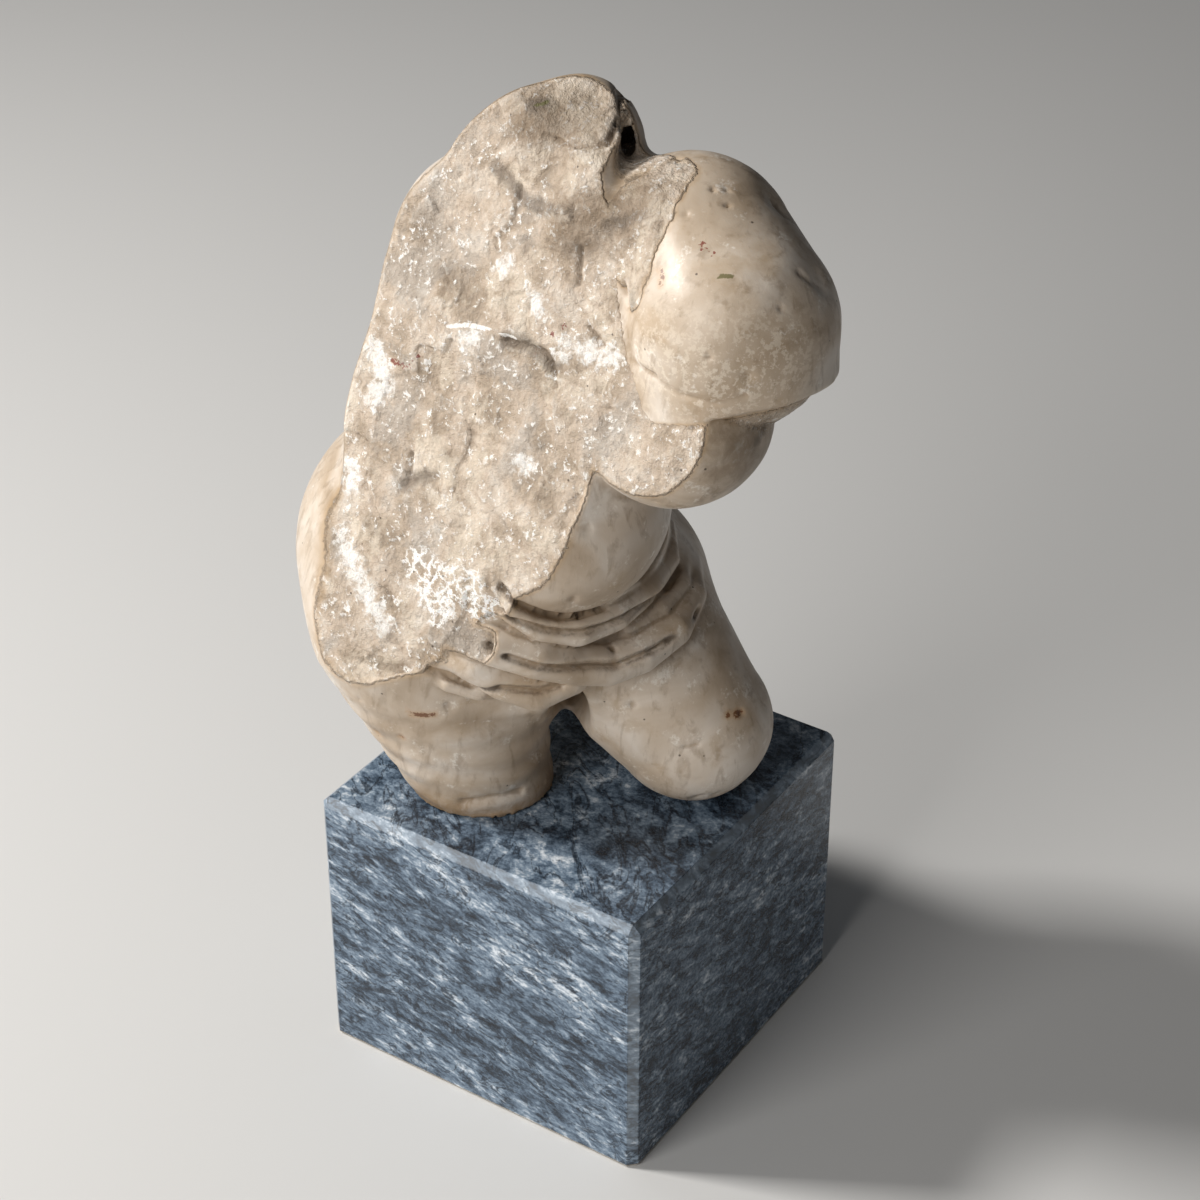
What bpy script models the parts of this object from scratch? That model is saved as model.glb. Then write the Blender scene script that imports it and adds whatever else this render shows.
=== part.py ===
"""A carved marble torso on a block of grey marble, broken off at the neck, the arms and both thighs."""

import math

import bmesh
import bpy
import numpy as np
from mathutils import Matrix

# Driving sizes, in metres
PLINTH_WIDTH = 0.125
PLINTH_DEPTH = 0.128
PLINTH_HEIGHT = 0.102
PLINTH_CHAMFER = 0.0028
PLINTH_FOOT_CHAMFER = 0.0008
TORSO_HEIGHT = 0.243
SEAT_GAP = 0.0003
TORSO_TURN = math.radians(33.4)

# The torso's free form is given as shares of its own height: in these units it is 243 high.
FORM_UNIT = TORSO_HEIGHT / 243
NET_STEP = 2.5
TORSO_TRIANGLES = 9000

# The seat is z = 0, x runs along the hips to the hunched shoulder, and y from the belly to the back.
FORM_LOW = np.array([-104.0, -84.0, -4.0])
FORM_HIGH = np.array([92.0, 74.0, 258.0])


def point(x, y, z):
    return np.array([x, y, z], float)


def egg(p, centre, radii):
    """Distance to an ellipsoid: exact at its surface, and a fair estimate close to it."""
    q = p - centre
    near = np.linalg.norm(q / radii, axis=-1)
    steep = np.linalg.norm(q / np.square(radii), axis=-1)
    return near * (near - 1.0) / np.maximum(steep, 1e-6)


def limb(p, start, start_radius, end, end_radius):
    """Distance to a tapering rod with round ends."""
    along = end - start
    t = np.clip((p - start) @ along / (along @ along), 0.0, 1.0)
    radius = start_radius + (end_radius - start_radius) * t
    return np.linalg.norm(p - start - t[..., None] * along, axis=-1) - radius


def join(a, b, soft):
    """Union of two forms whose meeting is rounded over about soft."""
    h = np.clip(0.5 + 0.5 * (b - a) / soft, 0.0, 1.0)
    return b + (a - b) * h - soft * h * (1.0 - h)


def deepen(a, b, soft):
    """The same union for two hollows given as depths, which are above zero inside."""
    return -join(-a, -b, soft)


def carve(a, b, soft):
    """What is left of form a outside form b, with the edge rounded over about soft."""
    return -join(-a, b, soft)


def trunk(p):
    low = limb(p, point(-16, 4, 70), 44, point(-22, -8, 129), 51)
    chest = limb(p, point(-22, -8, 129), 52, point(-16, -8, 176), 48)
    dome = limb(p, point(-16, -8, 176), 47, point(-8, 1, 216.5), 25.5)
    stump = egg(p, point(-18, -2, 206), point(28, 31, 29))
    collar = egg(p, point(0, 6, 220), point(19.5, 19, 23))
    block = limb(p, point(3, -4, 222), 12, point(5, -3, 231), 11)
    dome = join(join(dome, collar, 3), block, 3)
    flank = egg(p, point(-40, -10, 87), point(35, 37, 33))
    upper = join(join(low, chest, 6), join(dome, stump, 6), 6)
    return join(upper, flank, 6)


def hips(p):
    right = egg(p, point(-48, 16, 76), point(45, 46, 50))
    left = egg(p, point(8, 22, 56), point(34, 36, 36))
    return join(right, left, 9)


def thighs(p):
    right = limb(p, point(-50, -4, 62), 38, point(-32, -8, 0), 22.5)
    left = limb(p, point(10, 2, 56), 34, point(36, -10, 25), 26.5)
    return right, left


def between_thighs(p):
    """The gap between the two stubs, which runs up under the lowest roll."""
    return egg(p, point(-4, -33, 37), point(7, 42, 18.5))


def belly(p):
    return egg(p, point(-8, -22, 117), point(36, 37, 35))


def chain(p, points, radii):
    """A bent roll of flesh: round rods from each point to the next."""
    form = np.full(p.shape[:-1], 1e3)
    for k in range(len(points) - 1):
        form = np.minimum(form, limb(p, point(*points[k]), radii[k], point(*points[k + 1]), radii[k + 1]))
    return form


def folds(p):
    """The rolls of the bent belly, from under the ribs to the groin, each from the break to the left flank."""
    first = ((-34, -47, 102), (-23, -49, 99), (-12, -46, 88), (-1, -43, 84))
    first += ((10, -35, 84), (20, -24, 86), (27, -9, 87), (28, 9, 88))
    second = ((-38, -41, 82), (-28, -46, 81), (-14, -46, 76), (-3, -42, 70), (8, -37, 66))
    second += ((18, -32, 67), (29, -23, 70), (35, -8, 73), (36, 9, 75))
    third = ((-42, -37, 74), (-32, -41, 70), (-24, -41, 64), (-14, -41, 60), (-4, -39, 63), (5, -34, 66))
    side = ((14, -30, 75), (24, -21, 76), (31, -9, 78), (32, 7, 80))
    groin = ((-49, -37, 65), (-41, -40, 62), (-32, -40, 59), (-23, -37, 55))
    form = chain(p, first, (5.5, 6, 6, 6, 6, 5, 4, 2))
    form = join(form, chain(p, side, (3, 4.5, 4, 2)), 0.6)
    form = join(form, chain(p, second, (7, 7.5, 7.5, 7, 7, 7, 6, 5, 2)), 0.6)
    form = join(form, chain(p, third, (7, 7.5, 7.5, 7.5, 6.5, 4)), 0.6)
    return join(form, chain(p, groin, (2, 4, 4, 2)), 0.6)


def back(p):
    """Hollows: the furrow of the spine, the cleft of the seat and the dip below each shoulder blade."""
    spine = ((-17, 56, 96), (-16, 53, 118), (-14, 50, 146), (-12, 46, 176), (-10, 38, 206))
    cleft = ((-18, 66, 20), (-18, 68, 52), (-18, 64, 80))
    return np.minimum(chain(p, spine, (5, 6, 7, 6, 3)), chain(p, cleft, (7, 9, 5)))


def blades(p):
    right = egg(p, point(-36, 22, 180), point(20, 21, 30))
    left = egg(p, point(20, 18, 184), point(20, 19, 28))
    return np.minimum(right, left)


def breast(p):
    return egg(p, point(28, -42, 158.5), point(29, 30, 27))


def shoulder(p):
    """The rounded left shoulder and what is left of its upper arm, broken off nearly level."""
    ball = limb(p, point(35.5, -19.5, 200.5), 27.2, point(44.3, -39, 186.5), 30.7)
    arm = limb(p, point(44.3, -39, 186.5), 30.5, point(46, -39, 155), 30)
    cut = p[..., 2] - 171.5 + 0.25 * (p[..., 1] + 39) - 0.2 * (p[..., 0] - 76) + 1.2 * bumps(p, 14)
    return join(ball, carve(arm, cut, 1), 1)


def bumps(p, length):
    """Smooth random hills and hollows about length across, from -1 to 1, with finer ones on them."""
    total = np.zeros(p.shape[:-1])
    for scale, weight in ((1.0, 1.0), (2.1, 0.5)):
        q = p * (scale / length) + 31.7 * scale
        cell = np.floor(q)
        share = q - cell
        share = share * share * (3 - 2 * share)
        for corner in np.ndindex(2, 2, 2):
            key = (cell + corner) @ point(127.1, 311.7, 74.7)
            chance = np.modf(np.abs(np.sin(key)) * 43758.5453)[0] * 2 - 1
            near = np.where(np.array(corner) == 1, share, 1 - share)
            total = total + weight * chance * near.prod(-1)
    return total / 1.2


def broken(p):
    """Depth beyond the great break, which took the right shoulder, the flank and part of the belly."""
    rough = 2.0 * bumps(p, 20)
    main = p @ point(-0.588, -0.731, 0.346) - 87.6
    low = p @ point(-0.42, -0.906, 0.05) - 62.4
    edge = (-25 + 0.2 * (p[..., 2] - 103) - p[..., 0]) * 0.8
    low = np.minimum(np.minimum(low, edge), (p[..., 2] - 66) * 0.6)
    top = p @ point(-0.26, -0.61, 0.748) - 177.5
    return deepen(np.maximum(main, top), low, 5) + rough


def neck(p):
    """Depth inside the hollows round the neck: the cliff on its left side, the slot behind and the dip in front."""
    x, y, z = p[..., 0], p[..., 1], p[..., 2]
    cliff = np.minimum(np.minimum(x - 9.2 - 0.19 * (z - 220), -1 - y), z - 214)
    middle = 14.3 - 0.012 * (z - 222) ** 2
    slot = np.minimum(0.4 + 0.12 * (240 - z) - abs(x - middle), np.minimum(14 - y, z - 212))
    dip = -limb(p, point(-18, -40, 228), 15, point(14, -40, 222), 13)
    valley = -limb(p, point(14, -40, 222), 12, point(8, -60, 192), 6)
    return deepen(deepen(np.maximum(cliff, slot), dip, 5), valley, 5)


def under_shoulder(p):
    """The crease that runs down the near side of the shoulder and in under it."""
    path = ((13.5, -45, 196), (14.5, -52, 189), (17, -57.5, 180.5), (21, -61, 174.5), (26, -65, 171))
    return chain(p, path, (2.5, 3.5, 4, 4.5, 4))


def body(p):
    right, left = thighs(p)
    form = join(trunk(p), hips(p), 10)
    form = join(form, right, 8)
    form = join(form, left, 8)
    form = join(form, belly(p), 2)
    form = join(form, folds(p), 1)
    form = join(form, blades(p), 10)
    form = carve(form, back(p), 7)
    form = carve(form, between_thighs(p), 3)
    form = join(form, breast(p), 3)
    form = carve(form, -broken(p), 1)
    form = carve(form, -neck(p), 1.5)
    bridge = limb(p, point(14, 3, 190), 28, point(29.5, -14, 202), 23.5)
    saddle = limb(p, point(8, -8, 206.5), 15, point(20, -13, 205.5), 17.5)
    form = join(form, join(bridge, saddle, 4), 6)
    form = carve(form, under_shoulder(p), 1.5)
    form = join(form, shoulder(p), np.clip(1.5 + 0.35 * (p[..., 2] - 198), 1.5, 7))
    return np.maximum(form, -p[..., 2])


def fill_pinches(value):
    """Fills the grid points where two parts of the form, or of the space round it, meet only at a corner."""
    corners = list(np.ndindex(2, 2, 2))
    cut = [tuple(slice(c, value.shape[k] - 1 + c) for k, c in enumerate(corner)) for corner in corners]
    sides = [[c for c in range(8) if corners[c][axis] == at] for axis in range(3) for at in (0, 1)]
    for _ in range(12):
        inside = [value[part] < 0 for part in cut]
        pinches = []
        for a, b, c, d in sides:
            pinches.append((inside[a] == inside[d]) & (inside[b] == inside[c]) & (inside[a] != inside[b]))
        count = sum(part.astype(int) for part in inside)
        for a in range(4):
            pair = inside[a] == inside[7 - a]
            pinches.append(pair & (count == np.where(inside[a], 2, 6)))
        pinched = np.any(pinches, axis=0)
        if not pinched.any():
            break
        for part in cut:
            here = value[part]
            here[pinched & (here >= 0)] = -0.01
    return value


def net(field, low, high, step):
    """Points and four-sided faces of the surface where the field is zero, a point for each cell it crosses."""
    count = np.ceil((high - low) / step).astype(int) + 1
    axes = [low[k] + step * np.arange(count[k]) for k in range(3)]
    grid = np.stack(np.meshgrid(*axes, indexing="ij"), -1)
    value = fill_pinches(field(grid))
    cells = count - 1
    total = np.zeros((*cells, 3))
    crossings = np.zeros(cells)
    for axis in range(3):
        near = [slice(None)] * 3
        far = [slice(None)] * 3
        near[axis] = slice(0, -1)
        far[axis] = slice(1, None)
        a, b = value[tuple(near)], value[tuple(far)]
        crossed = (a < 0) != (b < 0)
        share = np.where(crossed, a / np.where(crossed, a - b, 1.0), 0.0)
        at = grid[tuple(near)].copy()
        at[..., axis] += share * step
        at *= crossed[..., None]
        others = [k for k in range(3) if k != axis]
        for first in (0, 1):
            for second in (0, 1):
                part = [slice(None)] * 3
                part[others[0]] = slice(first, first + cells[others[0]])
                part[others[1]] = slice(second, second + cells[others[1]])
                total += at[tuple(part)]
                crossings += crossed[tuple(part)]
    used = crossings > 0
    number = np.full(cells, -1)
    number[used] = np.arange(used.sum())
    points = total[used] / crossings[used][:, None]
    faces = []
    for axis in range(3):
        u, v = (axis + 1) % 3, (axis + 2) % 3
        inner = [slice(1, -1)] * 3
        inner[axis] = slice(0, -1)
        upper = [slice(1, -1)] * 3
        upper[axis] = slice(1, None)
        a, b = value[tuple(inner)], value[tuple(upper)]
        where = np.argwhere((a < 0) != (b < 0))
        leaving = (a < 0)[tuple(where.T)]
        where[:, u] += 1
        where[:, v] += 1
        corners = []
        for back_u, back_v in ((1, 1), (0, 1), (0, 0), (1, 0)):
            cell = where.copy()
            cell[:, u] -= back_u
            cell[:, v] -= back_v
            corners.append(number[tuple(cell.T)])
        quads = np.stack(corners, -1)
        quads[~leaving] = quads[~leaving][:, ::-1]
        faces.append(quads)
    return points, np.concatenate(faces)


def main_shell(points, faces):
    """The largest of the closed shells, so that no chip smaller than a cell floats beside the form."""
    label = np.arange(len(points))
    while True:
        lowest = label.copy()
        for k in range(4):
            np.minimum.at(lowest, faces[:, k], label[faces].min(1))
        lowest = lowest[lowest]
        if (lowest == label).all():
            break
        label = lowest
    kept = label == np.bincount(label).argmax()
    number = np.cumsum(kept) - 1
    return points[kept], number[faces[kept[faces[:, 0]]]]


def settle(field, points, rounds, reach, span):
    """Moves each point along the field's slope until it lies on the surface, by at most reach in all."""
    start = points.copy()
    for _ in range(rounds):
        slope = np.stack(
            [field(points + span * axis) - field(points - span * axis) for axis in np.eye(3)], -1
        ) / (2 * span)
        steep = np.maximum((slope**2).sum(-1), 0.05)
        points = points - slope * (field(points) / steep)[:, None]
        moved = points - start
        far = np.linalg.norm(moved, axis=-1, keepdims=True)
        points = start + moved * np.minimum(1.0, reach / np.maximum(far, 1e-9))
    return points


def stone(name, colour, roughness):
    material = bpy.data.materials.new(name)
    material.use_nodes = True
    shader = material.node_tree.nodes["Principled BSDF"]
    shader.inputs["Base Color"].default_value = (*colour, 1.0)
    shader.inputs["Roughness"].default_value = roughness
    shader.inputs["Metallic"].default_value = 0.0
    return material


def add_object(name, mesh, material):
    obj = bpy.data.objects.new(name, mesh)
    obj.data.materials.append(material)
    bpy.context.scene.collection.objects.link(obj)
    return obj


def make_plinth():
    """A sawn and polished block with wide chamfers on its top and upright edges, and a narrow one at its foot."""
    shape = bmesh.new()
    bmesh.ops.create_cube(shape, size=1.0)
    size = Matrix.Diagonal((PLINTH_WIDTH, PLINTH_DEPTH, PLINTH_HEIGHT, 1.0))
    bmesh.ops.transform(shape, matrix=Matrix.Translation((0, 0, PLINTH_HEIGHT / 2)) @ size, verts=shape.verts)
    middle = PLINTH_HEIGHT / 2
    foot = [e for e in shape.edges if all(v.co.z < middle for v in e.verts)]
    wide = [e for e in shape.edges if e not in foot]
    bmesh.ops.bevel(shape, geom=wide, offset=PLINTH_CHAMFER, segments=1, affect="EDGES")
    foot = [e for e in shape.edges if all(v.co.z < PLINTH_FOOT_CHAMFER / 2 for v in e.verts)]
    bmesh.ops.bevel(shape, geom=foot, offset=PLINTH_FOOT_CHAMFER, segments=1, affect="EDGES")
    bmesh.ops.recalc_face_normals(shape, faces=shape.faces)
    mesh = bpy.data.meshes.new("plinth")
    shape.to_mesh(mesh)
    shape.free()
    return add_object("plinth", mesh, stone("grey veined marble", (0.30, 0.35, 0.42), 0.25))


def make_torso():
    """The figure: the zero surface of body(), netted, settled on the form and thinned where it is flat."""
    points, faces = net(body, FORM_LOW, FORM_HIGH, NET_STEP)
    points, faces = main_shell(points, faces)
    points = settle(body, points, rounds=3, reach=NET_STEP / 2, span=0.4)
    mesh = bpy.data.meshes.new("torso")
    mesh.from_pydata((points * FORM_UNIT).tolist(), [], faces.tolist())
    mesh.shade_smooth()
    torso = add_object("torso", mesh, stone("patinated white marble", (0.70, 0.62, 0.52), 0.45))
    torso.location.z = PLINTH_HEIGHT + SEAT_GAP
    torso.rotation_euler.z = TORSO_TURN
    thin = torso.modifiers.new("thin", "DECIMATE")
    thin.ratio = min(1.0, TORSO_TRIANGLES / (2 * len(faces)))
    return torso


def main():
    for obj in list(bpy.data.objects):
        bpy.data.objects.remove(obj)
    make_plinth()
    make_torso()


main()
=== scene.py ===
# %% [markdown]
# # A broken marble torso on a block of grey marble
#
# Two stones stand one on the other. The upper one is a white marble figure that crouches and bends
# forward. It has lost its head, its arms and its legs below the thighs, and a great break has taken the
# front of its right side. The lower one is a sawn and polished block of veined grey marble.
#
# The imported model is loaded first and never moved. The block's own solid is right as it is, so it only
# gets a finish. The figure's solid has the main forms, and a finer carving of the same forms takes its
# place here, with the crumbly fracture and the small damage that a light solid can't hold.

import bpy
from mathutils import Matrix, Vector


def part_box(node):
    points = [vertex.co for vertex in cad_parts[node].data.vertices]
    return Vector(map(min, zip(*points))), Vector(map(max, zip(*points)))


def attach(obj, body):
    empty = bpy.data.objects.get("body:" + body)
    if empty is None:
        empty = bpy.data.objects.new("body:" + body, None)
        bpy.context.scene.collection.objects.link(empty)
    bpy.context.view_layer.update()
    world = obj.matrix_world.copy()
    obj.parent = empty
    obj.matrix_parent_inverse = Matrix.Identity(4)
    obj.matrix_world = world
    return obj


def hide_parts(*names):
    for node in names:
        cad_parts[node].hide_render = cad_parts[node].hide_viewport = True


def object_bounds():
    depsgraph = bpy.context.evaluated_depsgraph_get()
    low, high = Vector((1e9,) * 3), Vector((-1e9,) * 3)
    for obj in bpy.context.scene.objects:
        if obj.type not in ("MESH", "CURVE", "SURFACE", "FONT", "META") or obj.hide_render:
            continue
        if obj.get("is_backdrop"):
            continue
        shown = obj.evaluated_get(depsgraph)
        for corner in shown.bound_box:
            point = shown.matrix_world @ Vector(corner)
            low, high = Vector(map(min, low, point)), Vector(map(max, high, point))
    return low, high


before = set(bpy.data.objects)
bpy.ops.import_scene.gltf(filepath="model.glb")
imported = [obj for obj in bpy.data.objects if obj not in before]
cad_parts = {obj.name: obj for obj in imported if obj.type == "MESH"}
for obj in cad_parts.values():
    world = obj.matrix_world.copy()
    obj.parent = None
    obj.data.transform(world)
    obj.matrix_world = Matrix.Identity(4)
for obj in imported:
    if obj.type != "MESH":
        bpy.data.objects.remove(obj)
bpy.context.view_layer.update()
print("packed nodes:", ", ".join(sorted(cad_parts)))

# %% Tools that every step uses
import math

import bpy
import numpy as np
from mathutils import Matrix, Vector

MM = 0.001


def point(x, y, z):
    return np.array([x, y, z], float)


# %% [markdown]
# ## How the figure is shaped
#
# A carved body has no seams, no profile that turns round an axis and no grid that could be laid over it
# without a pinch. It could be sculpted by hand, but a hand's strokes can't be read again. So it is given
# as a field: a function that says for any point in space how far it is outside the stone, or inside it if
# the number is below zero. Simple forms are joined softly, as flesh meets flesh, or carved away sharply,
# as a blow takes stone. Lengths are in millimetres, in the figure's own frame: the seat is z = 0, x runs
# along the hips to the hunched shoulder, and y from the belly to the back.

# %% Simple forms, and how two of them meet
def egg(p, centre, radii):
    """Distance to an ellipsoid: exact at its surface, and a fair estimate close to it."""
    q = p - centre
    near = np.linalg.norm(q / radii, axis=-1)
    steep = np.linalg.norm(q / np.square(radii), axis=-1)
    return near * (near - 1.0) / np.maximum(steep, 1e-6)


def limb(p, start, start_radius, end, end_radius):
    """Distance to a tapering rod with round ends."""
    along = end - start
    t = np.clip((p - start) @ along / (along @ along), 0.0, 1.0)
    radius = start_radius + (end_radius - start_radius) * t
    return np.linalg.norm(p - start - t[..., None] * along, axis=-1) - radius


def join(a, b, soft):
    """Union of two forms whose meeting is rounded over about soft."""
    h = np.clip(0.5 + 0.5 * (b - a) / soft, 0.0, 1.0)
    return b + (a - b) * h - soft * h * (1.0 - h)


def deepen(a, b, soft):
    """The same union for two hollows given as depths, which are above zero inside."""
    return -join(-a, -b, soft)


def carve(a, b, soft):
    """What is left of form a outside form b, with the edge rounded over about soft."""
    return -join(-a, b, soft)


def chain(p, points, radii):
    """A bent roll of flesh: round rods from each point to the next."""
    form = np.full(p.shape[:-1], 1e3)
    for k in range(len(points) - 1):
        form = np.minimum(form, limb(p, point(*points[k]), radii[k], point(*points[k + 1]), radii[k + 1]))
    return form

# %% [markdown]
# ## The bent body
#
# The trunk leans forward over the thighs. Its main masses are a few tapering rods and ellipsoids: the
# trunk, the hips, the two stubs of thigh, the round belly and the back with its furrow.

# %% The main masses
def trunk(p):
    low = limb(p, point(-16, 4, 70), 44, point(-22, -8, 129), 51)
    chest = limb(p, point(-22, -8, 129), 52, point(-16, -8, 176), 48)
    dome = limb(p, point(-16, -8, 176), 47, point(-8, 1, 216.5), 25.5)
    stump = egg(p, point(-18, -2, 206), point(28, 31, 29))
    collar = egg(p, point(0, 6, 220), point(19.5, 19, 23))
    block = limb(p, point(3, -4, 222), 12, point(5, -3, 231), 11)
    dome = join(join(dome, collar, 3), block, 3)
    flank = egg(p, point(-40, -10, 87), point(35, 37, 33))
    upper = join(join(low, chest, 6), join(dome, stump, 6), 6)
    return join(upper, flank, 6)


def hips(p):
    right = egg(p, point(-48, 16, 76), point(45, 46, 50))
    left = egg(p, point(8, 22, 56), point(34, 36, 36))
    return join(right, left, 9)


def thighs(p):
    right = limb(p, point(-50, -4, 62), 38, point(-32, -8, 0), 22.5)
    left = limb(p, point(10, 2, 56), 34, point(36, -10, 25), 26.5)
    return right, left


def between_thighs(p):
    """The gap between the two stubs, which runs up under the lowest roll."""
    return egg(p, point(-4, -33, 37), point(7, 42, 18.5))


def belly(p):
    return egg(p, point(-8, -22, 117), point(36, 37, 35))


def back(p):
    """Hollows: the furrow of the spine, the cleft of the seat and the dip below each shoulder blade."""
    spine = ((-17, 56, 96), (-16, 53, 118), (-14, 50, 146), (-12, 46, 176), (-10, 38, 206))
    cleft = ((-18, 66, 20), (-18, 68, 52), (-18, 64, 80))
    return np.minimum(chain(p, spine, (5, 6, 7, 6, 3)), chain(p, cleft, (7, 9, 5)))


def blades(p):
    right = egg(p, point(-36, 22, 180), point(20, 21, 30))
    left = egg(p, point(20, 18, 184), point(20, 19, 28))
    return np.minimum(right, left)


def breast(p):
    return egg(p, point(28, -42, 158.5), point(29, 30, 27))

# %% [markdown]
# ## The rolls of the belly
#
# Where the body bends, the skin gathers into five rolls that run round from the break to the left flank.
# Each is a bent rod that thins towards its ends. They meet almost without softening, so that the creases
# between them stay as crisp as a chisel leaves them.

# %% The rolls
def folds(p):
    """The rolls of the bent belly, from the ribs to the groin, each from the break to the left flank."""
    first = ((-34, -47, 102), (-23, -49, 99), (-12, -46, 88), (-1, -43, 84))
    first += ((10, -35, 84), (20, -24, 86), (27, -9, 87), (28, 9, 88))
    second = ((-38, -41, 82), (-28, -46, 81), (-14, -46, 76), (-3, -42, 70), (8, -37, 66))
    second += ((18, -32, 67), (29, -23, 70), (35, -8, 73), (36, 9, 75))
    third = ((-42, -37, 74), (-32, -41, 70), (-24, -41, 64), (-14, -41, 60), (-4, -39, 63), (5, -34, 66))
    side = ((14, -30, 75), (24, -21, 76), (31, -9, 78), (32, 7, 80))
    groin = ((-49, -37, 65), (-41, -40, 62), (-32, -40, 59), (-23, -37, 55))
    form = chain(p, first, (5.5, 6, 6, 6, 6, 5, 4, 2))
    form = join(form, chain(p, side, (3, 4.5, 4, 2)), 0.6)
    form = join(form, chain(p, second, (7, 7.5, 7.5, 7, 7, 7, 6, 5, 2)), 0.6)
    form = join(form, chain(p, third, (7, 7.5, 7.5, 7.5, 6.5, 4)), 0.6)
    return join(form, chain(p, groin, (2, 4, 4, 2)), 0.6)

# %% [markdown]
# ## The damage
#
# Marble doesn't break flat. It follows its grains, so the large planes of the break are roughened with
# random hills. The hills come from a lattice: each corner of a cube has a chance height, and the heights
# are blended smoothly between the corners. The same numbers come out every time.

# %% Random hills, and the large breaks
def chance(cell, salt):
    """A number from 0 to 1 for each whole cell and salt: the broken part of a large sine."""
    key = cell @ point(127.1, 311.7, 74.7) + 19.19 * salt
    return np.modf(np.abs(np.sin(key)) * 43758.5453)[0]


def bumps(p, length):
    """Smooth random hills and hollows about length across, from -1 to 1, with finer ones on them."""
    total = np.zeros(p.shape[:-1])
    for scale, weight in ((1.0, 1.0), (2.1, 0.5)):
        q = p * (scale / length) + 31.7 * scale
        cell = np.floor(q)
        share = q - cell
        share = share * share * (3 - 2 * share)
        for corner in np.ndindex(2, 2, 2):
            height = chance(cell + corner, 0) * 2 - 1
            closeness = np.where(np.array(corner) == 1, share, 1 - share)
            total = total + weight * height * closeness.prod(-1)
    return total / 1.2


def broken(p):
    """Depth beyond the great break, which took the right shoulder, the flank and part of the belly."""
    rough = 2.0 * bumps(p, 20)
    main = p @ point(-0.588, -0.731, 0.346) - 87.6
    low = p @ point(-0.42, -0.906, 0.05) - 62.4
    edge = (-25 + 0.2 * (p[..., 2] - 103) - p[..., 0]) * 0.8
    low = np.minimum(np.minimum(low, edge), (p[..., 2] - 66) * 0.6)
    top = p @ point(-0.26, -0.61, 0.748) - 177.5
    return deepen(np.maximum(main, top), low, 5) + rough


def neck(p):
    """Depth inside the hollows round the neck: the cliff on its left, the slot and the dip in front."""
    x, y, z = p[..., 0], p[..., 1], p[..., 2]
    cliff = np.minimum(np.minimum(x - 9.2 - 0.19 * (z - 220), -1 - y), z - 214)
    middle = 14.3 - 0.012 * (z - 222) ** 2
    slot = np.minimum(0.4 + 0.12 * (240 - z) - abs(x - middle), np.minimum(14 - y, z - 212))
    dip = -limb(p, point(-18, -40, 228), 15, point(14, -40, 222), 13)
    valley = -limb(p, point(14, -40, 222), 12, point(8, -60, 192), 6)
    return deepen(deepen(np.maximum(cliff, slot), dip, 5), valley, 5)


def under_shoulder(p):
    """The crease that runs down the near side of the shoulder and in under it."""
    path = ((13.5, -45, 196), (14.5, -52, 189), (17, -57.5, 180.5), (21, -61, 174.5), (26, -65, 171))
    return chain(p, path, (2.5, 3.5, 4, 4.5, 4))


def arm_end(p):
    """Height over the slanting plane where the upper arm broke off."""
    return p[..., 2] - 171.5 + 0.25 * (p[..., 1] + 39) - 0.2 * (p[..., 0] - 76)


def shoulder(p):
    """The rounded left shoulder and what is left of its upper arm, broken off nearly level."""
    ball = limb(p, point(35.5, -19.5, 200.5), 27.2, point(44.3, -39, 186.5), 30.7)
    arm = limb(p, point(44.3, -39, 186.5), 30.5, point(46, -39, 155), 30)
    return join(ball, carve(arm, arm_end(p) + 1.2 * bumps(p, 14), 1), 1)


# %% [markdown]
# ## The whole field
#
# The order matters: what is joined after the breaks was not touched by them. The function also keeps two
# distances for later. One says how far a point lies inside the break's edge, and it places the rough
# fracture, the honey-coloured rim, which is a painted glow of light through the thin edge, and the
# polished skin.

# %% The whole body
def before_break(p):
    """The body as it was carved: its masses joined, the rolls laid on and the back hollowed."""
    right, left = thighs(p)
    form = join(trunk(p), hips(p), 10)
    form = join(form, right, 8)
    form = join(form, left, 8)
    form = join(form, belly(p), 2)
    form = join(form, folds(p), 1)
    form = join(form, blades(p), 10)
    form = carve(form, back(p), 7)
    form = carve(form, between_thighs(p), 3)
    return join(form, breast(p), 3)


def body(p):
    """The carved body less its breaks, with the left shoulder, which they spared, joined on."""
    form = carve(before_break(p), -broken(p), 1)
    form = carve(form, -neck(p), 1.5)
    bridge = limb(p, point(14, 3, 190), 28, point(29.5, -14, 202), 23.5)
    saddle = limb(p, point(5, -8, 207), 15.5, point(20, -13, 205.5), 17.5)
    form = join(form, join(bridge, saddle, 4), 6)
    form = carve(form, under_shoulder(p), 1.5)
    form = join(form, shoulder(p), np.clip(1.5 + 0.35 * (p[..., 2] - 198), 1.5, 7))
    return np.maximum(form, -p[..., 2])


ROUGH_SHOULDER = ((26, -22, 222), (18, -30, 216), (13, -38, 207), (13, -44, 199))


def inside_break(p):
    """How far a point of the surface lies inside the edge of the breaks, in mm, and below zero on the skin.
    On the fracture it is the depth under the skin that is gone, and on the skin the depth under the plane."""
    skin = before_break(p)
    break_depth = np.maximum(broken(p), neck(p))
    spared = shoulder(p)
    inside = break_depth - skin
    under = np.where(p[..., 1] < 0, -arm_end(p) - 1.5, -9.0)
    scar = -chain(p, ROUGH_SHOULDER, (9, 12, 10, 5)) + 1.5 * bumps(p, 7)
    on_shoulder = np.maximum(scar, np.maximum(under, -4.0 - spared))
    return np.where(spared < 1.2, on_shoulder, np.maximum(inside, np.where(p[..., 1] < 2, scar, -9.0)))


# %% [markdown]
# ## From field to mesh
#
# The field becomes a mesh by surface nets: space is cut into small cubes, and each cube that the surface
# crosses gets one point, at the mean of the crossings on its edges. Every face is then split in four, and
# every point slides down the field's slope until it lies on the surface. That keeps the creases sharp.

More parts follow.
